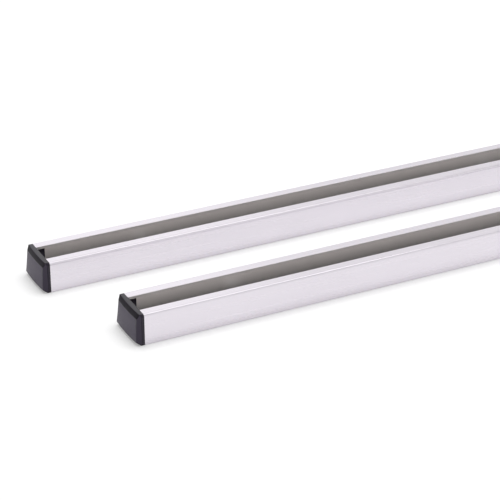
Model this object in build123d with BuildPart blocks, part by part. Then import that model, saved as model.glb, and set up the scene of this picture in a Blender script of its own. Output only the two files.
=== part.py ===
"""Pair of roof tent mounting rails.

Two slotted aluminium rails lie side by side, a little staggered. Each is closed at both ends by a
moulded cap whose spigot pushes into the channel. X runs along the rails, Y across them and Z up.
The origin is under the middle of the pair, on the surface that the rails rest on.
"""

from build123d import *
import os

os.makedirs("parts", exist_ok=True)

# Rail section and length, in millimetres
rail_length = 1220.0
section_width = 40.0
section_height = 26.0
side_wall = 2.5
web_thickness = 3.0
lip_thickness = 2.5
lip_width = 9.0
top_corner_radius = 2.2
bottom_corner_radius = 1.0
channel_corner_radius = 0.8
lip_edge_radius = 0.5

# Fixing holes through the web, in a row along its middle
hole_diameter = 9.0
hole_count = 4
hole_end_distance = 100.0

# How the pair lies
rail_spacing = 109.5
rail_stagger = 32.5

# Cap head: how far each edge of its bowed front stands out from the rail's end
flange_thickness = 2.5
foot_reach = 3.4
rim_reach = 4.1
panel_top_reach = 5.9
panel_bottom_reach = 7.4
front_bow = 0.9

# Cap head: where the raised panel's edges lie on the front
panel_top_drop = 3.8
panel_bottom_rise = 3.0
panel_top_inset = 4.9
panel_bottom_inset = 1.2

# Cap head: eased edges, and the core taken out of its back
rim_edge_radius = 0.4
foot_edge_radius = 0.6
panel_edge_radius = 0.9
draft_edge_chamfer = 0.3
core_depth = 1.8
core_margin = 1.5

# Cap spigot: a ribbed trough that is pushed into the channel
spigot_length = 9.0
spigot_wall = 2.0
spigot_clearance = 0.3
spigot_lead_in = 0.6
rib_radius = 0.6
rib_clearance = 0.05
rib_spacing = 8.0
rib_setback = 1.5

# Sizes that follow from those above
half_width = section_width / 2
channel_width = section_width - 2 * side_wall
channel_height = section_height - web_thickness - lip_thickness
channel_middle = web_thickness + channel_height / 2
slot_width = section_width - 2 * lip_width
hole_pitch = (rail_length - 2 * hole_end_distance) / (hole_count - 1)
trough_inner_width = channel_width - 2 * (spigot_clearance + spigot_wall)
trough_floor = web_thickness + spigot_clearance + spigot_wall
panel_top = section_height - panel_top_drop
front_radius = (half_width**2 + front_bow**2) / (2 * front_bow)
turning_offset = rim_reach - front_radius


def section_outline():
    """The rail section's outer outline, standing on the sketch's X axis."""
    with BuildSketch() as outline:
        with Locations((0, section_height / 2)):
            Rectangle(section_width, section_height)
        fillet(outline.vertices().group_by(Axis.Y)[-1], top_corner_radius)
        fillet(outline.vertices().group_by(Axis.Y)[0], bottom_corner_radius)
    return outline.sketch


def channel_outline(clearance):
    """The channel's rounded outline, drawn in by a clearance all round."""
    with BuildSketch() as outline:
        with Locations((0, channel_middle)):
            RectangleRounded(
                channel_width - 2 * clearance,
                channel_height - 2 * clearance,
                channel_corner_radius,
            )
    return outline.sketch


def build_rail(name, middle):
    """A rail: the C section, extruded, with fixing holes drilled through its web."""
    x, y = middle
    rail_start = Plane((x - rail_length / 2, y, 0), x_dir=(0, 1, 0), z_dir=(1, 0, 0))
    web_face = Plane((x, y, web_thickness))
    with BuildPart() as rail:
        with BuildSketch(rail_start) as section:
            add(section_outline())
            add(channel_outline(0), mode=Mode.SUBTRACT)
            with Locations((0, section_height - lip_thickness)):
                Rectangle(slot_width, 2 * lip_thickness, mode=Mode.SUBTRACT)
            lip_edges = section.vertices().filter_by(
                lambda corner: abs(abs(corner.X) - slot_width / 2) < lip_edge_radius / 2
            )
            fillet(lip_edges, lip_edge_radius)
        extrude(amount=rail_length)
        with Locations(web_face):
            with GridLocations(hole_pitch, 0, hole_count, 1):
                Hole(hole_diameter / 2, depth=web_thickness)
    rail.part.label = name
    export_step(rail.part, f"parts/{name}.step")


def front_profile():
    """The head seen from the side, from the upright line that it is turned about to its front."""
    with BuildSketch() as profile:
        with BuildLine():
            Polyline(
                (turning_offset, 0),
                (foot_reach, 0),
                (panel_bottom_reach, panel_bottom_rise),
                (panel_top_reach, panel_top),
                (rim_reach, section_height),
                (turning_offset, section_height),
                close=True,
            )
        make_face()
        front = profile.vertices().filter_by(lambda corner: corner.X > 0).sort_by(Axis.Y)
        foot_edge, panel_bottom_edge, panel_top_edge, rim_edge = front
        fillet(foot_edge, foot_edge_radius)
        fillet([panel_bottom_edge, panel_top_edge], panel_edge_radius)
        fillet(rim_edge, rim_edge_radius)
    return profile.sketch


def side_wedge(height, hand):
    """What one drafted side takes off the head in plan, at one height."""
    share = (height - panel_bottom_rise) / (panel_top - panel_bottom_rise)
    inset = panel_bottom_inset + share * (panel_top_inset - panel_bottom_inset)
    reach = 2 * panel_bottom_reach - flange_thickness
    with BuildSketch() as wedge:
        with BuildLine():
            Polyline(
                (flange_thickness, hand * half_width),
                (reach, hand * (half_width - 2 * inset)),
                (reach, hand * section_width),
                (flange_thickness, hand * section_width),
                close=True,
            )
        make_face()
    return wedge.sketch


def trough_outline():
    """The spigot's section: the channel's outline less its clearance, open at the top."""
    with BuildSketch() as trough:
        add(channel_outline(spigot_clearance))
        with Locations((0, trough_floor)):
            Rectangle(
                trough_inner_width,
                channel_height,
                align=(Align.CENTER, Align.MIN),
                mode=Mode.SUBTRACT,
            )
    return trough.sketch


def build_cap(name, middle, side):
    """A cap: a bowed head with drafted sides against the rail's end, and a trough inside it."""
    x, y = middle
    end_middle = (x + side * rail_length / 2, y, 0)
    end_face = Plane(end_middle, x_dir=(0, side, 0), z_dir=(side, 0, 0))
    side_view = Plane(end_middle, x_dir=(side, 0, 0), z_dir=(0, -side, 0))
    plan_view = Plane(end_middle, x_dir=(side, 0, 0), z_dir=(0, 0, 1))
    outward = Axis(end_middle, (side, 0, 0))
    turning_line = Axis((end_middle[0] + side * turning_offset, y, 0), (0, 0, 1))
    with BuildPart() as cap:
        with BuildSketch(end_face):
            add(section_outline())
        extrude(amount=panel_bottom_reach)
        with BuildSketch(side_view):
            add(front_profile())
        revolve(axis=turning_line, mode=Mode.INTERSECT)
        for hand in (-1, 1):
            for height in (-panel_bottom_rise, section_height + panel_top_drop):
                with BuildSketch(plan_view.offset(height)):
                    add(side_wedge(height, hand))
            loft(mode=Mode.SUBTRACT)
        draft_edges = cap.edges().filter_by(
            lambda edge: abs((edge @ 0.5).Y - y) > trough_inner_width / 2
            and abs((edge @ 0.5).X - end_middle[0]) > rim_reach
        )
        chamfer(draft_edges, draft_edge_chamfer)

        with BuildSketch(end_face):
            add(trough_outline())
        extrude(amount=-spigot_length)
        tip = cap.faces().sort_by(outward)[0]
        chamfer(tip.outer_wire().edges(), spigot_lead_in)
        rib_line = channel_width / 2 - rib_clearance - rib_radius
        with BuildSketch(end_face):
            with Locations((0, channel_middle)):
                with GridLocations(2 * rib_line, rib_spacing, 2, 2):
                    Circle(rib_radius)
        extrude(amount=rib_setback - spigot_length)
        with BuildSketch(end_face):
            with Locations((0, trough_floor)):
                Rectangle(
                    trough_inner_width - 2 * core_margin,
                    channel_height - 2 * spigot_wall,
                    align=(Align.CENTER, Align.MIN),
                )
        extrude(amount=core_depth, mode=Mode.SUBTRACT)
    cap.part.label = name
    export_step(cap.part, f"parts/{name}.step")


far_middle = (-rail_stagger / 2, rail_spacing / 2)
near_middle = (rail_stagger / 2, -rail_spacing / 2)

for place, middle in (("far", far_middle), ("near", near_middle)):
    build_rail(f"{place}_rail", middle)
    for end_name, side in (("left", -1), ("right", 1)):
        build_cap(f"{place}_rail_{end_name}_cap", middle, side)
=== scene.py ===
# %% [markdown]
# # A pair of slotted mounting rails
#
# Two lengths of anodised aluminium extrusion lie on a white table, slot upwards, side by side and a
# little staggered. Each has a black moulded cap in both ends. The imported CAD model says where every
# piece is, so the scene starts from it and never fits anything by eye. The rails' surfaces are made
# again here, finer than the CAD mesh, because a satin metal shows each facet of a rounded edge. The
# caps keep the shape of their CAD mesh and get only their finish here. Lengths are in metres, and
# the real sizes are written as so many mm.

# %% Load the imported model
import math

import bmesh
import bpy
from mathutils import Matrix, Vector


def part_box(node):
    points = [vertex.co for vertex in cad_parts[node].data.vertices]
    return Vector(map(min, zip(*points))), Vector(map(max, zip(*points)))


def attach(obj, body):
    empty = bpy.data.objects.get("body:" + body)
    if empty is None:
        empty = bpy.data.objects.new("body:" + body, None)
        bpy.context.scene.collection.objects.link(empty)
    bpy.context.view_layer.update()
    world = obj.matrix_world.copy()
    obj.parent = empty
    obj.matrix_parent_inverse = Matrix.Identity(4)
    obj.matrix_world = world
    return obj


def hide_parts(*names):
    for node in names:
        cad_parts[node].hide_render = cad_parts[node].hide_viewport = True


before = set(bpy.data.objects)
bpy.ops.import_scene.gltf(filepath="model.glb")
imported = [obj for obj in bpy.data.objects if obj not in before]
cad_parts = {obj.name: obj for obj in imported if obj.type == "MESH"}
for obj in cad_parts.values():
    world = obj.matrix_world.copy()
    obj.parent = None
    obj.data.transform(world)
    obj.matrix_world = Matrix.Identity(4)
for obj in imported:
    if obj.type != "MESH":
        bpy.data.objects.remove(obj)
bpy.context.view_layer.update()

mm = 0.001
print("nodes:", sorted(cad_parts))

# %% [markdown]
# ## Two helpers
#
# Shaders and Geometry Nodes are both graphs of nodes. A node could be added, set and linked in
# three or four lines each time, but then the graph is hard to see in the script. So one function
# does it for either kind of graph: it adds a node, sets its properties and fills its sockets, with
# a value or with a link from another socket. Colours are written as sRGB hex, the way a colour
# picker shows them, and Blender's sockets want linear light, so a second function converts them.

# %% Add a node, and turn a hex colour to linear light
def add_node(tree, kind, inputs=None, **settings):
    """Adds a node to a tree: settings are its properties, inputs its sockets by name or number."""
    node = tree.nodes.new(kind)
    for name, value in settings.items():
        setattr(node, name, value)
    for key, value in (inputs or {}).items():
        if isinstance(value, bpy.types.NodeSocket):
            tree.links.new(value, node.inputs[key])
        else:
            node.inputs[key].default_value = value
    return node


def linear(code):
    """An sRGB colour such as "DCD8DE", by the standard's curve, as linear light and an alpha of 1."""
    channels = [int(code[i:i + 2], 16) / 255 for i in (0, 2, 4)]
    return [c / 12.92 if c <= 0.04045 else ((c + 0.055) / 1.055) ** 2.4 for c in channels] + [1.0]


print("mid grey in linear light:", round(linear("808080")[0], 3))

# %% [markdown]
# ## What noise does in a finish
#
# Neither metal nor plastic is perfectly even. An image could carry that unevenness, but it needs a
# map for each piece and ends in pixels close up. A noise texture has neither problem. Here it does
# two jobs: it varies the roughness between two values, and it raises the surface a little where it
# is high. Most of a noise's values lie between 0.3 and 0.7, so that is the span that gets spread
# out.

# %% Put noise to work
noise_low = 0.3
noise_high = 0.7


def make_uneven(tree, surface, noise, smoothest, roughest, strength, depth):
    """Lets a noise spread a surface's roughness, and raise the surface by a share of a depth."""
    roughness = add_node(tree, "ShaderNodeMapRange", {
        "Value": noise.outputs["Fac"],
        "From Min": noise_low, "From Max": noise_high, "To Min": smoothest, "To Max": roughest,
    })
    tree.links.new(roughness.outputs["Result"], surface.inputs["Roughness"])
    bump = add_node(tree, "ShaderNodeBump", {
        "Height": noise.outputs["Fac"], "Strength": strength, "Distance": depth,
    })
    tree.links.new(bump.outputs["Normal"], surface.inputs["Normal"])


print("noise span:", noise_low, "to", noise_high)

# %% [markdown]
# ## Finish 1: satin anodised aluminium
#
# The rails are pushed hot through a steel die, etched, and anodised without dye. The etch leaves a
# fine satin, so the metal mirrors nothing sharply but still changes from pale grey to near white
# with the angle of each face. The shader's Anisotropic socket could stretch the highlights, as
# brushed metal does. An etched face doesn't stretch them, so it stays at 0. The die leaves very
# faint lines along the length. They would be about 0.2 mm apart, too fine for this picture, so they
# are drawn 0.8 mm apart and kept faint. They drive roughness and a little bump, not colour. A slow
# cloudiness, some 60 mm across, comes from the etch bath.
#
# The inside of the channel is etched less evenly, so the same metal is rougher in there and a touch
# warmer. Light comes in only through the slot and bounces several times, so the tone in there is
# set paler than the outside's to come out as a mid grey.
#
# Through the slot, the far wall and the far lip's edge look pale at the top and dark at the foot.
# That is light and shade, and these lamps leave the change too weak. So a third finish has it
# painted into its tone as shade, which falls off towards the wall's foot.

# %% Paint shade on a wall, darker towards its foot
foot_height = 8 * mm
top_height = 20 * mm


def paint_shade_towards_foot(tree, tone, place, foot_share):
    """Painted shade: a tone that falls to a share of itself at the foot of a wall."""
    height = add_node(tree, "ShaderNodeSeparateXYZ", {0: place}).outputs["Z"]
    share = add_node(tree, "ShaderNodeMapRange", {
        "Value": height,
        "From Min": foot_height, "From Max": top_height, "To Min": foot_share, "To Max": 1.0,
    })
    return add_node(tree, "ShaderNodeMix", {
        "Factor": share.outputs["Result"],
        "A": linear("000000"),
        "B": tone.outputs["Result"],
    }, data_type="RGBA")


print("the tone falls off from", round(top_height / mm, 1), "to", round(foot_height / mm, 1), "mm up")

# %% Make the aluminium
die_line_spacing = 0.8 * mm
die_line_length = 160 * mm
die_line_depth = 0.1 * mm
etch_cloud_size = 60 * mm


def make_anodised_aluminium(name, dark_tone, pale_tone, smoothest, roughest, foot_share=1.0):
    """Natural anodised aluminium 6063, between two tones and two roughnesses.

    foot_share is how much of the tone is left at the foot of a wall, as painted shade.
    """
    material = bpy.data.materials.new(name)
    material.use_nodes = True
    tree = material.node_tree
    surface = tree.nodes["Principled BSDF"]
    surface.inputs["Metallic"].default_value = 1.0
    place = add_node(tree, "ShaderNodeTexCoord").outputs["Object"]
    stretch = add_node(tree, "ShaderNodeMapping", {
        "Vector": place,
        "Scale": (1 / die_line_length, 1 / die_line_spacing, 1 / die_line_spacing),
    })
    lines = add_node(tree, "ShaderNodeTexNoise", {
        "Vector": stretch.outputs["Vector"], "Scale": 1.0, "Detail": 2.0, "Roughness": 0.6,
    })
    clouds = add_node(tree, "ShaderNodeTexNoise", {
        "Vector": place, "Scale": 1 / etch_cloud_size, "Detail": 2.0,
    })
    tone = add_node(tree, "ShaderNodeMix", {
        "Factor": clouds.outputs["Fac"],
        "A": linear(dark_tone),
        "B": linear(pale_tone),
    }, data_type="RGBA")
    if foot_share < 1.0:
        tone = paint_shade_towards_foot(tree, tone, place, foot_share)
    tree.links.new(tone.outputs["Result"], surface.inputs["Base Color"])
    make_uneven(tree, surface, lines, smoothest, roughest, strength=0.08, depth=die_line_depth)
    return material


satin_face = make_anodised_aluminium(
    "satin_anodised_aluminium", "DDD8DF", "E2DDE4", smoothest=0.26, roughest=0.34)
dull_channel = make_anodised_aluminium(
    "dull_anodised_channel", "EBE8E7", "EFECEB", smoothest=0.32, roughest=0.40)
# The third finish's tone is paler than the channel's and falls off towards the wall's foot: painted
# light at the top and painted shade at the foot.
painted_shade_wall = make_anodised_aluminium(
    "channel_wall_painted_shade", "F7F4F3", "FAF7F6", smoothest=0.30, roughest=0.38, foot_share=0.28)
print("materials:", satin_face.name, dull_channel.name, painted_shade_wall.name)

# %% [markdown]
# ## Finish 2: black moulded plastic
#
# The caps are injection moulded in black polyamide. The mould was polished except for the field of
# the raised front panel, which was spark eroded. That gives the plastic there a fine even grain,
# which scatters light and looks greyer than the plain border around it. The real grain is about
# 0.1 mm, and it is drawn at 0.35 mm so that it can show. The rim is where the cap is handled and
# rubs on the rail, so it has a little more shine than the front.
#
# A dark base colour alone would look like paint, because most of what the eye gets from black
# plastic is its sheen. Solid polyamide has an index of refraction of about 1.53. It is set a little
# lower here, and each finish has a specular level of its own, to match how dull or bright it looks.

# %% Make the plain plastics
grain_size = 0.35 * mm
plain_grain_depth = 0.01 * mm
plain_colour = "161219"
violet_cast = "EEE4FF"
plastic_ior = 1.43


def make_black_plastic(name, gloss):
    """Black polyamide with its faint violet cast, and the nodes that its finish is built on."""
    material = bpy.data.materials.new(name)
    material.use_nodes = True
    tree = material.node_tree
    surface = tree.nodes["Principled BSDF"]
    surface.inputs["IOR"].default_value = plastic_ior
    surface.inputs["Specular IOR Level"].default_value = gloss
    surface.inputs["Specular Tint"].default_value = linear(violet_cast)
    place = add_node(tree, "ShaderNodeTexCoord").outputs["Object"]
    grain = add_node(tree, "ShaderNodeTexNoise", {
        "Vector": place, "Scale": 1 / grain_size, "Detail": 3.0, "Roughness": 0.55,
    })
    return material, tree, surface, grain


def make_plain_plastic(name, gloss, smoothest, roughest):
    """Polished mould: dark and smooth, with only a breath of grain."""
    material, tree, surface, grain = make_black_plastic(name, gloss)
    surface.inputs["Base Color"].default_value = linear(plain_colour)
    make_uneven(tree, surface, grain, smoothest, roughest, strength=0.4, depth=plain_grain_depth)
    return material


plain_plastic = make_plain_plastic(
    "plain_moulded_polyamide", gloss=0.1, smoothest=0.38, roughest=0.44)
rubbed_plastic = make_plain_plastic(
    "rubbed_moulded_polyamide", gloss=0.45, smoothest=0.28, roughest=0.34)
print("materials:", plain_plastic.name, rubbed_plastic.name)

# %% [markdown]
# ## A field with an outline, drawn by the shader
#
# The grained field's sides lean in towards the top, and its corners are softly rounded. It lies
# inside one face of the cap, so a second material on whole faces can't show its outline, and cutting
# the face would change the mesh. So the shader works the outline out, from a UV map that each cap
# gets below: millimetres across and up, as the cap is seen from its front. The distance to each
# straight edge is plain arithmetic, and a smooth minimum of those distances rounds the corners.

# %% Mark out the grained field, in the map's millimetres
field_half_width = 18.5
field_lean = 0.193
field_low = 3.4
field_high = 21.5
top_corner_blend = 3.5
foot_corner_blend = 1.0
outer_blur = 0.2
inner_blur = 0.3


def grained_field(tree):
    """1 inside the panel's field and 0 in the border around it, from the cap's front view map."""
    seen = add_node(tree, "ShaderNodeUVMap", uv_map="front_view").outputs[0]
    map_axes = add_node(tree, "ShaderNodeSeparateXYZ", {0: seen}).outputs
    across = add_node(tree, "ShaderNodeMath", {0: map_axes["X"]}, operation="ABSOLUTE")
    above_low = add_node(tree, "ShaderNodeMath", {0: map_axes["Y"], 1: field_low},
                         operation="SUBTRACT")
    drawn_in = add_node(tree, "ShaderNodeMath", {0: above_low.outputs[0], 1: field_lean},
                        operation="MULTIPLY")
    edge = add_node(tree, "ShaderNodeMath", {0: field_half_width, 1: drawn_in.outputs[0]},
                    operation="SUBTRACT")
    from_side = add_node(tree, "ShaderNodeMath", {0: edge.outputs[0], 1: across.outputs[0]},
                         operation="SUBTRACT")
    from_top = add_node(tree, "ShaderNodeMath", {0: field_high, 1: map_axes["Y"]},
                        operation="SUBTRACT")
    corner = add_node(tree, "ShaderNodeMath", {
        0: from_side.outputs[0], 1: from_top.outputs[0], 2: top_corner_blend,
    }, operation="SMOOTH_MIN")
    inside = add_node(tree, "ShaderNodeMath", {
        0: corner.outputs[0], 1: above_low.outputs[0], 2: foot_corner_blend,
    }, operation="SMOOTH_MIN")
    return add_node(tree, "ShaderNodeMapRange", {
        "Value": inside.outputs[0], "From Min": -outer_blur, "From Max": inner_blur,
    }, interpolation_type="SMOOTHSTEP").outputs["Result"]


print("field in mm:", 2 * field_half_width, "wide,", round(field_high - field_low, 1), "high")

# %% [markdown]
# ## The grained plastic
#
# On the real cap the field and its border are one plastic, and only the mould's surface changes
# between them. Two materials could show that, but they would meet in a hard line along the mesh's
# edges. So it is one material. The field's share, from 0 to 1, mixes its colour and its roughness
# and sets how strong the grain's bump is.

# %% Make the grained plastic
grained_colour = "322C39"
pale_grain = 1.3
border_roughness = 0.36
field_smoothest = 0.44
field_roughest = 0.52
border_strength = 0.05
field_strength = 0.5
field_grain_depth = 0.04 * mm


def make_grained_plastic():
    """Spark eroded field inside a border like the plain plastic."""
    material, tree, surface, grain = make_black_plastic("spark_eroded_polyamide", gloss=0.65)
    field = grained_field(tree)
    speckle = add_node(tree, "ShaderNodeMix", {
        "Factor": grain.outputs["Fac"],
        "A": linear(grained_colour),
        "B": [c * pale_grain for c in linear(grained_colour)],
    }, data_type="RGBA")
    tone = add_node(tree, "ShaderNodeMix", {
        "Factor": field, "A": linear(plain_colour), "B": speckle.outputs["Result"],
    }, data_type="RGBA")
    tree.links.new(tone.outputs["Result"], surface.inputs["Base Color"])
    spread = add_node(tree, "ShaderNodeMapRange", {
        "Value": grain.outputs["Fac"], "From Min": noise_low, "From Max": noise_high,
        "To Min": field_smoothest, "To Max": field_roughest,
    })
    roughness = add_node(tree, "ShaderNodeMix", {
        "Factor": field, "A": border_roughness, "B": spread.outputs["Result"],
    })
    tree.links.new(roughness.outputs["Result"], surface.inputs["Roughness"])
    strength = add_node(tree, "ShaderNodeMapRange", {
        "Value": field, "To Min": border_strength, "To Max": field_strength,
    })
    bump = add_node(tree, "ShaderNodeBump", {
        "Height": grain.outputs["Fac"],
        "Strength": strength.outputs["Result"],
        "Distance": field_grain_depth,
    })
    tree.links.new(bump.outputs["Normal"], surface.inputs["Normal"])
    return material


grained_plastic = make_grained_plastic()
print("material:", grained_plastic.name)

# %% [markdown]
# ## The rails
#
# An extrusion is a flat outline drawn out along a line. A channel could also be cut out of a block
# with Booleans, but sweeping the outline is what the press does, and it keeps every rounding's steps
# under one number. The object starts as the twelve corners of the die, each carrying the radius of
# its own rounding as an attribute. Geometry Nodes rounds the corners, sweeps the outline along the
# rail and drills the row of fixing holes with instanced cutters. The length, the holes and the
# rounding's steps are inputs of the tree.

# %% Draw the die's corners
rail_low, rail_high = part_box("far_rail")
rail_length = rail_high.x - rail_low.x
rail_width = rail_high.y - rail_low.y
rail_height = rail_high.z - rail_low.z
side_wall = 2.5 * mm
web_thickness = 3.0 * mm
lip_thickness = 2.5 * mm
lip_width = 9.0 * mm
top_corner = 2.2 * mm
bottom_corner = 1.0 * mm
channel_corner = 0.8 * mm
lip_edge = 0.5 * mm


def die_corners():
    """The outline's corners as (across, up, radius), anticlockwise from the bottom right."""
    half = rail_width / 2
    wall = half - side_wall
    lip = half - lip_width
    under_lip = rail_height - lip_thickness
    right = [
        (half, 0, bottom_corner),
        (half, rail_height, top_corner),
        (lip, rail_height, lip_edge),
        (lip, under_lip, lip_edge),
        (wall, under_lip, channel_corner),
        (wall, web_thickness, channel_corner),
    ]
    left = [(-across, up, radius) for across, up, radius in reversed(right)]
    return right + left


def draw_outline(name, corners):
    """A loop of edges through the corners, with each corner's radius.

    A sweep along X lays the outline half a turn round, so it is drawn half a turn round too.
    """
    mesh = bpy.data.meshes.new(name)
    count = len(corners)
    mesh.from_pydata(
        [(-across, -up, 0) for across, up, _ in corners],
        [(i, (i + 1) % count) for i in range(count)],
        [],
    )
    radii = mesh.attributes.new("corner_radius", "FLOAT", "POINT")
    radii.data.foreach_set("value", [radius for _, _, radius in corners])
    piece = bpy.data.objects.new(name, mesh)
    bpy.context.scene.collection.objects.link(piece)
    return piece


print("die corners:", len(die_corners()))

# %% [markdown]
# ## The bar
#
# The bar leaves the press as one straight length and is sawn off square. One long function could
# build the whole tree, but each step reads better on its own. The first one rounds the outline's
# corners and sweeps it along a line from one end to the other. The line's normal is set to Z up, so
# that the slot comes out on top, and the sweep's own end caps are the sawn ends.

# %% Sweep the outline along the rail
rail_inputs = {
    "Middle": ("NodeSocketVector", None),
    "Length": ("NodeSocketFloat", rail_length),
    "Hole diameter": ("NodeSocketFloat", 9.0 * mm),
    "Hole count": ("NodeSocketInt", 4),
    "First hole from end": ("NodeSocketFloat", 100.0 * mm),
    "Deburr": ("NodeSocketFloat", 0.35 * mm),
    "Corner steps": ("NodeSocketInt", 7),
}


def sweep_bar(tree, given, back, front):
    """The plain bar, from back to front along X."""
    outline = add_node(tree, "GeometryNodeMeshToCurve", {"Mesh": given["Geometry"]})
    radius = add_node(tree, "GeometryNodeInputNamedAttribute", {"Name": "corner_radius"},
                      data_type="FLOAT")
    rounded = add_node(tree, "GeometryNodeFilletCurve", {
        "Curve": outline.outputs["Curve"],
        "Count": given["Corner steps"],
        "Radius": radius.outputs["Attribute"],
    }, mode="POLY")
    start = add_node(tree, "ShaderNodeCombineXYZ", {"X": back})
    end = add_node(tree, "ShaderNodeCombineXYZ", {"X": front})
    path = add_node(tree, "GeometryNodeCurvePrimitiveLine", {
        "Start": start.outputs[0], "End": end.outputs[0],
    })
    upright = add_node(tree, "GeometryNodeSetCurveNormal", {"Curve": path.outputs[0]}, mode="Z_UP")
    bar = add_node(tree, "GeometryNodeCurveToMesh", {
        "Curve": upright.outputs[0],
        "Profile Curve": rounded.outputs[0],
        "Fill Caps": True,
    })
    return bar.outputs["Mesh"]


print("rail inputs:", list(rail_inputs))

# %% [markdown]
# ## The holes
#
# A rail like this is bolted down through a row of holes in its web, and a light countersink breaks
# each drilled hole's sharp edge. Each hole could be a cutter object of its own, placed by hand. Here
# the tree makes one drill and one short cone and sets out a row of points for them, so the number
# of holes stays an input.

# %% Set out the row of holes, and make one hole's cutters
cutter_sides = 48
drill_depth = 4 * web_thickness


def hole_row(tree, given, back):
    """The points where the holes go, evenly spaced between the first and the last."""
    gaps = add_node(tree, "ShaderNodeMath", {0: given["Hole count"], 1: 1.0}, operation="SUBTRACT")
    both_ends = add_node(tree, "ShaderNodeMath", {0: given["First hole from end"], 1: 2.0},
                         operation="MULTIPLY")
    run = add_node(tree, "ShaderNodeMath", {0: given["Length"], 1: both_ends.outputs[0]},
                   operation="SUBTRACT")
    pitch = add_node(tree, "ShaderNodeMath", {0: run.outputs[0], 1: gaps.outputs[0]},
                     operation="DIVIDE")
    first = add_node(tree, "ShaderNodeMath", {0: back, 1: given["First hole from end"]},
                     operation="ADD")
    row_start = add_node(tree, "ShaderNodeCombineXYZ", {"X": first.outputs[0]})
    row_step = add_node(tree, "ShaderNodeCombineXYZ", {"X": pitch.outputs[0]})
    row = add_node(tree, "GeometryNodeMeshLine", {
        "Count": given["Hole count"],
        "Start Location": row_start.outputs[0],
        "Offset": row_step.outputs[0],
    })
    return row.outputs["Mesh"]


def hole_cutters(tree, given):
    """The drill, and the cone that breaks the hole's edge where it meets the web's top."""
    radius = add_node(tree, "ShaderNodeMath", {0: given["Hole diameter"], 1: 0.5},
                      operation="MULTIPLY")
    drill = add_node(tree, "GeometryNodeMeshCylinder", {
        "Vertices": cutter_sides, "Radius": radius.outputs[0], "Depth": drill_depth,
    })
    mouth = add_node(tree, "ShaderNodeMath", {0: radius.outputs[0], 1: given["Deburr"]},
                     operation="ADD")
    cone_top = add_node(tree, "ShaderNodeMath", {0: mouth.outputs[0], 1: given["Deburr"]},
                        operation="ADD")
    cone_height = add_node(tree, "ShaderNodeMath", {0: given["Deburr"], 1: 2.0},
                           operation="MULTIPLY")
    cone = add_node(tree, "GeometryNodeMeshCone", {
        "Vertices": cutter_sides,
        "Radius Top": cone_top.outputs[0],
        "Radius Bottom": radius.outputs[0],
        "Depth": cone_height.outputs[0],
    })
    cone_foot = add_node(tree, "ShaderNodeMath", {0: web_thickness, 1: given["Deburr"]},
                         operation="SUBTRACT")
    lift = add_node(tree, "ShaderNodeCombineXYZ", {"Z": cone_foot.outputs[0]})
    raised = add_node(tree, "GeometryNodeTransform", {
        "Geometry": cone.outputs["Mesh"], "Translation": lift.outputs[0],
    })
    return drill.outputs["Mesh"], raised.outputs["Geometry"]


print("drill depth in mm:", round(drill_depth / mm, 1))

# %% [markdown]
# ## The whole tree
#
# The drills come off the bar first and then the cones, as in the workshop. One Boolean could take
# both, but cutters that overlap each other need its slower Self Intersection setting. The bar is
# made round the origin and moved last, so that one tree serves both rails.

# %% Build the extrusion tree
def build_extrusion_tree():
    """Sweeps the bar, drills its web and moves it to its middle."""
    tree = bpy.data.node_groups.new("extruded_and_drilled_rail", "GeometryNodeTree")
    tree.interface.new_socket("Geometry", in_out="INPUT", socket_type="NodeSocketGeometry")
    tree.interface.new_socket("Geometry", in_out="OUTPUT", socket_type="NodeSocketGeometry")
    for name, (kind, _) in rail_inputs.items():
        tree.interface.new_socket(name, in_out="INPUT", socket_type=kind)
    given = add_node(tree, "NodeGroupInput").outputs
    front = add_node(tree, "ShaderNodeMath", {0: given["Length"], 1: 0.5}, operation="MULTIPLY")
    back = add_node(tree, "ShaderNodeMath", {0: front.outputs[0], 1: -1.0}, operation="MULTIPLY")

    metal = sweep_bar(tree, given, back.outputs[0], front.outputs[0])
    row = hole_row(tree, given, back.outputs[0])
    for cutter in hole_cutters(tree, given):
        cutters = add_node(tree, "GeometryNodeInstanceOnPoints", {"Points": row, "Instance": cutter})
        cut = add_node(tree, "GeometryNodeMeshBoolean", {
            "Mesh 1": metal, "Mesh 2": cutters.outputs["Instances"],
        }, operation="DIFFERENCE", solver="EXACT")
        metal = cut.outputs["Mesh"]
    placed = add_node(tree, "GeometryNodeTransform", {
        "Geometry": metal, "Translation": given["Middle"],
    })
    real = add_node(tree, "GeometryNodeRealizeInstances", {"Geometry": placed.outputs["Geometry"]})
    painted = add_node(tree, "GeometryNodeSetMaterial", {
        "Geometry": real.outputs["Geometry"], "Material": satin_face,
    })
    add_node(tree, "NodeGroupOutput", {"Geometry": painted.outputs["Geometry"]})
    return tree


extrusion_tree = build_extrusion_tree()
print("extrusion tree:", len(extrusion_tree.nodes), "nodes")

# %% [markdown]
# ## From a live modifier to a plain mesh
#
# A tree's inputs are set on the modifier by the socket's identifier. The evaluated result is then
# copied into a plain mesh and the modifier goes, because the finished piece has to stand without
# it. Rounded edges want smooth shading and flat faces want none of it, so the shading is smooth up
# to a crease angle, and a Weighted Normal modifier lets the big flat faces decide at the joins.
# Without it each flat lip would look slightly swollen.

# %% Bake a piece and shade it
rail_crease = 30
cap_crease = 35
favour_large_faces = 100


def bake(piece):
    """Replaces an object's mesh by its evaluated one and removes its modifiers."""
    evaluated = piece.evaluated_get(bpy.context.evaluated_depsgraph_get())
    mesh = bpy.data.meshes.new_from_object(evaluated)
    piece.modifiers.clear()
    piece.data = mesh
    mesh.name = piece.name


def shade(piece, crease_degrees):
    """Smooth shading across rounded edges, with flat faces kept flat."""
    piece.data.shade_smooth()
    piece.data.set_sharp_from_angle(angle=math.radians(crease_degrees))
    weighted = piece.modifiers.new("flat_faces_decide", "WEIGHTED_NORMAL")
    weighted.mode = "FACE_AREA"
    weighted.weight = favour_large_faces
    weighted.keep_sharp = True
    bake(piece)


print("creases in degrees: rails", rail_crease, "caps", cap_crease)

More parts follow.
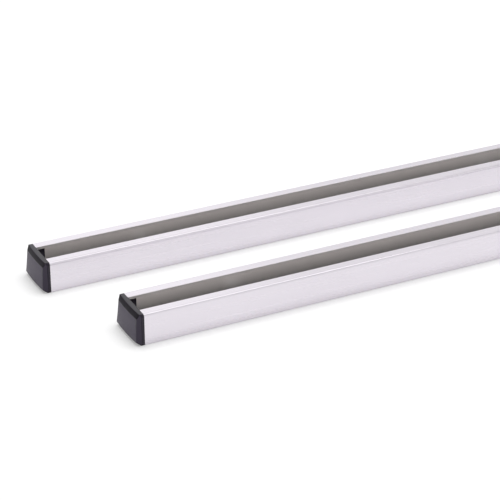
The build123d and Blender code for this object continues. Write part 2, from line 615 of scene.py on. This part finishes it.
# %% [markdown]
# ## Which face gets which finish
#
# A rail is one piece of metal, and only its surface changes from the outside to the channel. The
# shader could tell the two apart, as it does for the grained field. But the sweep has an edge
# wherever the finish changes, so each face takes its material by where its middle is and which way
# it looks, and the shaders stay simple.

# %% Finish the inside of the channel
rail_finishes = [satin_face, dull_channel, painted_shade_wall]
hair = 0.01 * mm
above_underside = 0.05 * mm
channel_half_width = rail_width / 2 - side_wall + hair
channel_ceiling = rail_height - lip_thickness + hair
# A face looks along an axis where its normal's part along that axis is more than this.
looks_along = 0.9


def finish_channel(piece, middle_y, bottom_z):
    """Gives the faces inside the channel and the holes the duller finish.

    The finish with painted shade, darker towards the foot, goes on those that look to the near side,
    which show through the slot.
    """
    piece.data.materials.clear()
    for finish in rail_finishes:
        piece.data.materials.append(finish)
    for face in piece.data.polygons:
        middle = face.center
        off_middle = abs(middle.y - middle_y)
        between_walls = off_middle < channel_half_width and abs(face.normal.x) < looks_along
        inside = between_walls and above_underside < middle.z - bottom_z < channel_ceiling
        # The wall that shows through the slot gets the painted shade.
        if between_walls and face.normal.y < -looks_along:
            finish = painted_shade_wall
        elif inside:
            finish = dull_channel
        else:
            finish = satin_face
        face.material_index = rail_finishes.index(finish)


print("channel in mm:", round(2 * channel_half_width / mm, 2), "wide")

# %% [markdown]
# ## Both rails
#
# The two rails are lengths of the same extrusion, so one function makes either. The second could be
# a linked copy of the first, moved, but then both would show the same cloudiness in the same
# places. So each rail has a mesh of its own, placed by its own CAD node's box.

# %% Extrude and drill both rails
def make_rail(node):
    """One rail in place of its CAD node."""
    low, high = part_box(node)
    piece = draw_outline(f"{node}_extrusion", die_corners())
    modifier = piece.modifiers.new("extrude", "NODES")
    modifier.node_group = extrusion_tree
    middle = (low + high) / 2
    values = {name: value for name, (_, value) in rail_inputs.items()}
    values["Middle"] = (middle.x, middle.y, low.z)
    for socket in extrusion_tree.interface.items_tree:
        if socket.in_out == "INPUT" and socket.name in values:
            modifier[socket.identifier] = values[socket.name]
    bake(piece)
    shade(piece, rail_crease)
    finish_channel(piece, middle.y, low.z)
    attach(piece, "root")
    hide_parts(node)
    return piece


rails = [make_rail(node) for node in ("far_rail", "near_rail")]
for rail in rails:
    xs, ys, zs = zip(*(v.co for v in rail.data.vertices))
    size = [round((max(v) - min(v)) / mm, 2) for v in (xs, ys, zs)]
    print(rail.name, "mm:", size, "triangles:", sum(len(p.vertices) - 2 for p in rail.data.polygons))

# %% [markdown]
# ## The end caps
#
# Each cap is one moulding: a bowed head with drafted sides, and a ribbed trough that grips the
# channel. It could be modelled again from curves, but its CAD solid already has every eased edge.
# So the piece is a copy of it with its loose triangles merged, and it can't drift from the solid.
#
# What the CAD mesh can't carry is the finish. The raised block on the front gets the grained
# plastic, whose shader draws the field's outline on the block's face. The block's drafted sides
# are mapped to the field's top edge, where about a third of the grain is left. That paints them
# darker than the front, as shade. The rim and the trough are the rubbed plastic, and the rest is
# plain.

# %% Map a cap's front
cap_finishes = [plain_plastic, grained_plastic, rubbed_plastic]
block_depth = 4.8 * mm
# Faces that don't look straight out are mapped to this spot on the field's top edge. This paints the
# block's drafted sides darker than its front, as shade.
painted_side_shade_spot = (0.0, field_high)
# These three are parts of a face's normal, along Z and twice along X.
panel_slope = 0.25
rim_slope = 0.5
straight_out = 0.93


def mark_front(piece, outward):
    """Gives each face its plastic, and maps the cap as it is seen from its front."""
    mesh = piece.data
    front = max(v.co.x * outward for v in mesh.vertices)
    middle_y = sum(corner[1] for corner in piece.bound_box) / len(piece.bound_box)
    front_view = mesh.uv_layers.new(name="front_view")
    for face in mesh.polygons:
        raised = face.center.x * outward > front - block_depth
        if raised and abs(face.normal.z) < panel_slope:
            finish = grained_plastic
        elif abs(face.normal.x) < rim_slope:
            finish = rubbed_plastic
        else:
            finish = plain_plastic
        face.material_index = cap_finishes.index(finish)
        faces_out = face.normal.x * outward > straight_out
        for corner in face.loop_indices:
            place = mesh.vertices[mesh.loops[corner].vertex_index].co
            here = ((place.y - middle_y) / mm, place.z / mm)
            # The block's drafted sides get the field's top edge: painted shade.
            front_view.data[corner].uv = here if faces_out else painted_side_shade_spot


print("raised block in mm:", round(block_depth / mm, 1), "deep")

# %% [markdown]
# ## All four caps
#
# The four caps are one moulding, and those in the right ends are turned round. They could all be
# copies of one finished cap, turned and moved. But each CAD node already lies in its place, so a
# copy of each needs no placing. It comes as loose triangles, which smooth shading can't cross, so
# their corners are merged first.

# %% Finish a cap
merge_distance = 0.002 * mm


def make_cap(node, outward):
    """A cap in place of its CAD node. outward is the way its head faces along X, 1 or -1."""
    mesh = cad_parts[node].data.copy()
    mesh.name = f"{node}_moulding"
    shell = bmesh.new()
    shell.from_mesh(mesh)
    bmesh.ops.remove_doubles(shell, verts=shell.verts, dist=merge_distance)
    shell.to_mesh(mesh)
    shell.free()
    piece = bpy.data.objects.new(mesh.name, mesh)
    bpy.context.scene.collection.objects.link(piece)
    mesh.materials.clear()
    for finish in cap_finishes:
        mesh.materials.append(finish)
    shade(piece, cap_crease)
    mark_front(piece, outward)
    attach(piece, "root")
    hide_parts(node)
    return piece


caps = []
for side in ("far", "near"):
    caps.append(make_cap(f"{side}_rail_left_cap", -1))
    caps.append(make_cap(f"{side}_rail_right_cap", 1))
grained_index = cap_finishes.index(grained_plastic)
for cap in caps:
    grained = sum(face.material_index == grained_index for face in cap.data.polygons)
    print(cap.name, "faces:", len(cap.data.polygons), "grained:", grained)

# %% [markdown]
# ## The table
#
# The pair lies on a white table. Stronger lamps could take it up to white, but they would burn out
# the rails too. So the paint is a little grey and carries the shadow, and a little extra light,
# which only camera, mirrored and transmitted rays see, takes the open table up to white. Close to a
# piece that extra light is lower, which deepens the shade at its foot. Further out the table turns
# plain white, so that it has no visible end.

# %% Mix the table's paint
table_grey = "E6E6E6"
shaded_share = 0.55
fade_end = 1.5


def seen_directly(tree):
    """1 on rays from the camera, a mirrored surface or clear plastic, and 0 on the rest."""
    ray = add_node(tree, "ShaderNodeLightPath").outputs
    either = add_node(tree, "ShaderNodeMath", {
        0: ray["Is Camera Ray"], 1: ray["Is Glossy Ray"],
    }, operation="MAXIMUM")
    return add_node(tree, "ShaderNodeMath", {
        0: either.outputs[0], 1: ray["Is Transmission Ray"],
    }, operation="MAXIMUM").outputs[0]


def make_table_paint(lift, shade_width, shadow_reach):
    """Soft shadows within shadow_reach of the middle, and plain white from fade_end times that.

    lift is the extra light. It falls to shaded_share of itself where a piece closes off the sky
    within shade_width.
    """
    material = bpy.data.materials.new("white_table")
    material.use_nodes = True
    tree = material.node_tree
    tree.nodes.clear()
    seen = seen_directly(tree)
    paint = add_node(tree, "ShaderNodeBsdfDiffuse", {"Color": linear(table_grey)})
    open_sky = add_node(tree, "ShaderNodeAmbientOcclusion", {"Distance": shade_width}, samples=8)
    share_lit = add_node(tree, "ShaderNodeMapRange", {
        "Value": open_sky.outputs["AO"], "To Min": shaded_share * lift, "To Max": lift,
    })
    lifted = add_node(tree, "ShaderNodeMath", {0: seen, 1: share_lit.outputs["Result"]},
                      operation="MULTIPLY")
    glow = add_node(tree, "ShaderNodeEmission", {"Strength": lifted.outputs[0]})
    near = add_node(tree, "ShaderNodeAddShader", {0: paint.outputs[0], 1: glow.outputs[0]})
    white = add_node(tree, "ShaderNodeEmission", {"Strength": 1.0})
    place = add_node(tree, "ShaderNodeTexCoord").outputs["Object"]
    radius = add_node(tree, "ShaderNodeVectorMath", {0: place}, operation="LENGTH")
    outside = add_node(tree, "ShaderNodeMapRange", {
        "Value": radius.outputs["Value"],
        "From Min": shadow_reach, "From Max": fade_end * shadow_reach,
    }, interpolation_type="SMOOTHSTEP")
    share = add_node(tree, "ShaderNodeMath", {0: outside.outputs["Result"], 1: seen},
                     operation="MULTIPLY")
    both = add_node(tree, "ShaderNodeMixShader", {
        0: share.outputs[0], 1: near.outputs[0], 2: white.outputs[0],
    })
    add_node(tree, "ShaderNodeOutputMaterial", {"Surface": both.outputs[0]})
    return material


table_paint = make_table_paint(lift=0.36, shade_width=15 * mm, shadow_reach=0.7)
print("material:", table_paint.name)

# %% [markdown]
# ## The table's top
#
# A table has a thickness and an edge. It could be a box, but only its top is ever in view, so one
# square face is enough. It lies a hair under the pair, because two faces in the same place would
# show through each other in patches.

# %% Lay the table
table_drop = 0.02 * mm
table_half_size = 6.0


def lay_table(material):
    """A square table top just under the pair."""
    mesh = bpy.data.meshes.new("table")
    signs = ((-1, -1), (1, -1), (1, 1), (-1, 1))
    corners = [(x * table_half_size, y * table_half_size, -table_drop) for x, y in signs]
    mesh.from_pydata(corners, [], [(0, 1, 2, 3)])
    mesh.materials.append(material)
    table = bpy.data.objects.new("table", mesh)
    bpy.context.scene.collection.objects.link(table)


lay_table(table_paint)
print("table laid", round(table_drop / mm, 2), "mm under the pair")

# %% [markdown]
# ## The room
#
# Satin metal shows mostly what it mirrors, so the room matters as much as the lamps. A photograph
# of a studio could surround the pair, but the script would then need that image, and a plain room
# is enough. What the camera and the metal see is white, with a greyer ceiling. The light that falls
# from it on the pair and the table is even and dimmer, which leaves work for the lamps.

# %% Paint the room
# The ceiling's grey starts and is full at these sines of the angle above the horizon.
grey_starts = 0.58
grey_is_full = 0.85


def make_world(strength, ceiling):
    """Even white light from a room that looks plain white, with a greyer ceiling."""
    world = bpy.data.worlds.new("white_room")
    bpy.context.scene.world = world
    world.use_nodes = True
    tree = world.node_tree
    tree.nodes.clear()
    direction = add_node(tree, "ShaderNodeTexCoord").outputs["Generated"]
    height = add_node(tree, "ShaderNodeSeparateXYZ", {0: direction}).outputs["Z"]
    room = add_node(tree, "ShaderNodeMapRange", {
        "Value": height,
        "From Min": grey_starts, "From Max": grey_is_full, "To Min": 1.0, "To Max": ceiling,
    }, interpolation_type="SMOOTHSTEP")
    level = add_node(tree, "ShaderNodeMapRange", {
        "Value": seen_directly(tree), "To Min": strength, "To Max": room.outputs["Result"],
    })
    sky = add_node(tree, "ShaderNodeBackground", {
        "Color": linear("FFFFFF"), "Strength": level.outputs["Result"],
    })
    add_node(tree, "ShaderNodeOutputWorld", {"Surface": sky.outputs[0]})
    return world


room_light = make_world(strength=0.6, ceiling=0.5)
print("room:", room_light.name)

# %% [markdown]
# ## The lamps
#
# A product like this is lit with large soft lamps, since small ones would put hard glints on the
# metal. One hangs overhead and puts the bright line on the rails' rounded edges. Past its end those
# edges mirror the grey ceiling instead. One stands behind, where the flat lips mirror it. A third
# only lights: it could be one with the first, but then the edges would mirror it too.

# %% Hang the lamps
def make_softbox(name, place, target, length, width, watts):
    """A soft lamp at a place, facing a target. Its length lies along X where it hangs level."""
    lamp = bpy.data.lights.new(name, "AREA")
    lamp.shape = "RECTANGLE"
    lamp.size = length
    lamp.size_y = width
    lamp.energy = watts
    holder = bpy.data.objects.new(name, lamp)
    holder.location = place
    holder.rotation_euler = (Vector(target) - Vector(place)).to_track_quat("-Z", "Y").to_euler()
    bpy.context.scene.collection.objects.link(holder)
    return holder


make_softbox("overhead_softbox", place=(0.2, 0.05, 1.9), target=(0.2, 0.05, 0.0),
             length=1.15, width=1.1, watts=6.2)
make_softbox("rear_softbox", place=(0.1, 2.2, 1.25), target=(-0.3, 0.0, 0.0),
             length=1.0, width=1.0, watts=1.0)
fill = make_softbox("overhead_fill", place=(-0.4, 0.4, 1.8), target=(-0.4, 0.4, 0.0),
                    length=1.2, width=0.8, watts=8.0)
fill.visible_glossy = False
scene = bpy.context.scene

# %% [markdown]
# ## The camera
#
# A camera could be moved about until the picture looks right, but it has seven numbers that all
# pull on each other. Here they come from the picture itself: its two vanishing directions and the
# ends of the rails give the camera's place, its angle and its focal length. The last is in pixels
# of a picture that is 500 pixels wide, and the sensor's width turns it into millimetres. The
# Standard view transform keeps the hex colours as they are, where a filmic one would soften them.

# %% Set up the camera
focal_pixels = 1843
picture_width = 500
tilt_down = 26.924
turn_right = 26.598

scene.view_settings.view_transform = "Standard"
camera_data = bpy.data.cameras.new("camera")
camera_data.sensor_width = 36.0
camera_data.lens = camera_data.sensor_width * focal_pixels / picture_width
camera_data.clip_start = 0.05
camera_data.clip_end = 50.0
camera = bpy.data.objects.new("camera", camera_data)
camera.location = (-1.05975, -1.18075, 0.6883)
camera.rotation_euler = (math.radians(90 - tilt_down), 0.0, math.radians(-turn_right))
scene.collection.objects.link(camera)
scene.camera = camera
print("lens in mm:", round(camera_data.lens, 1))
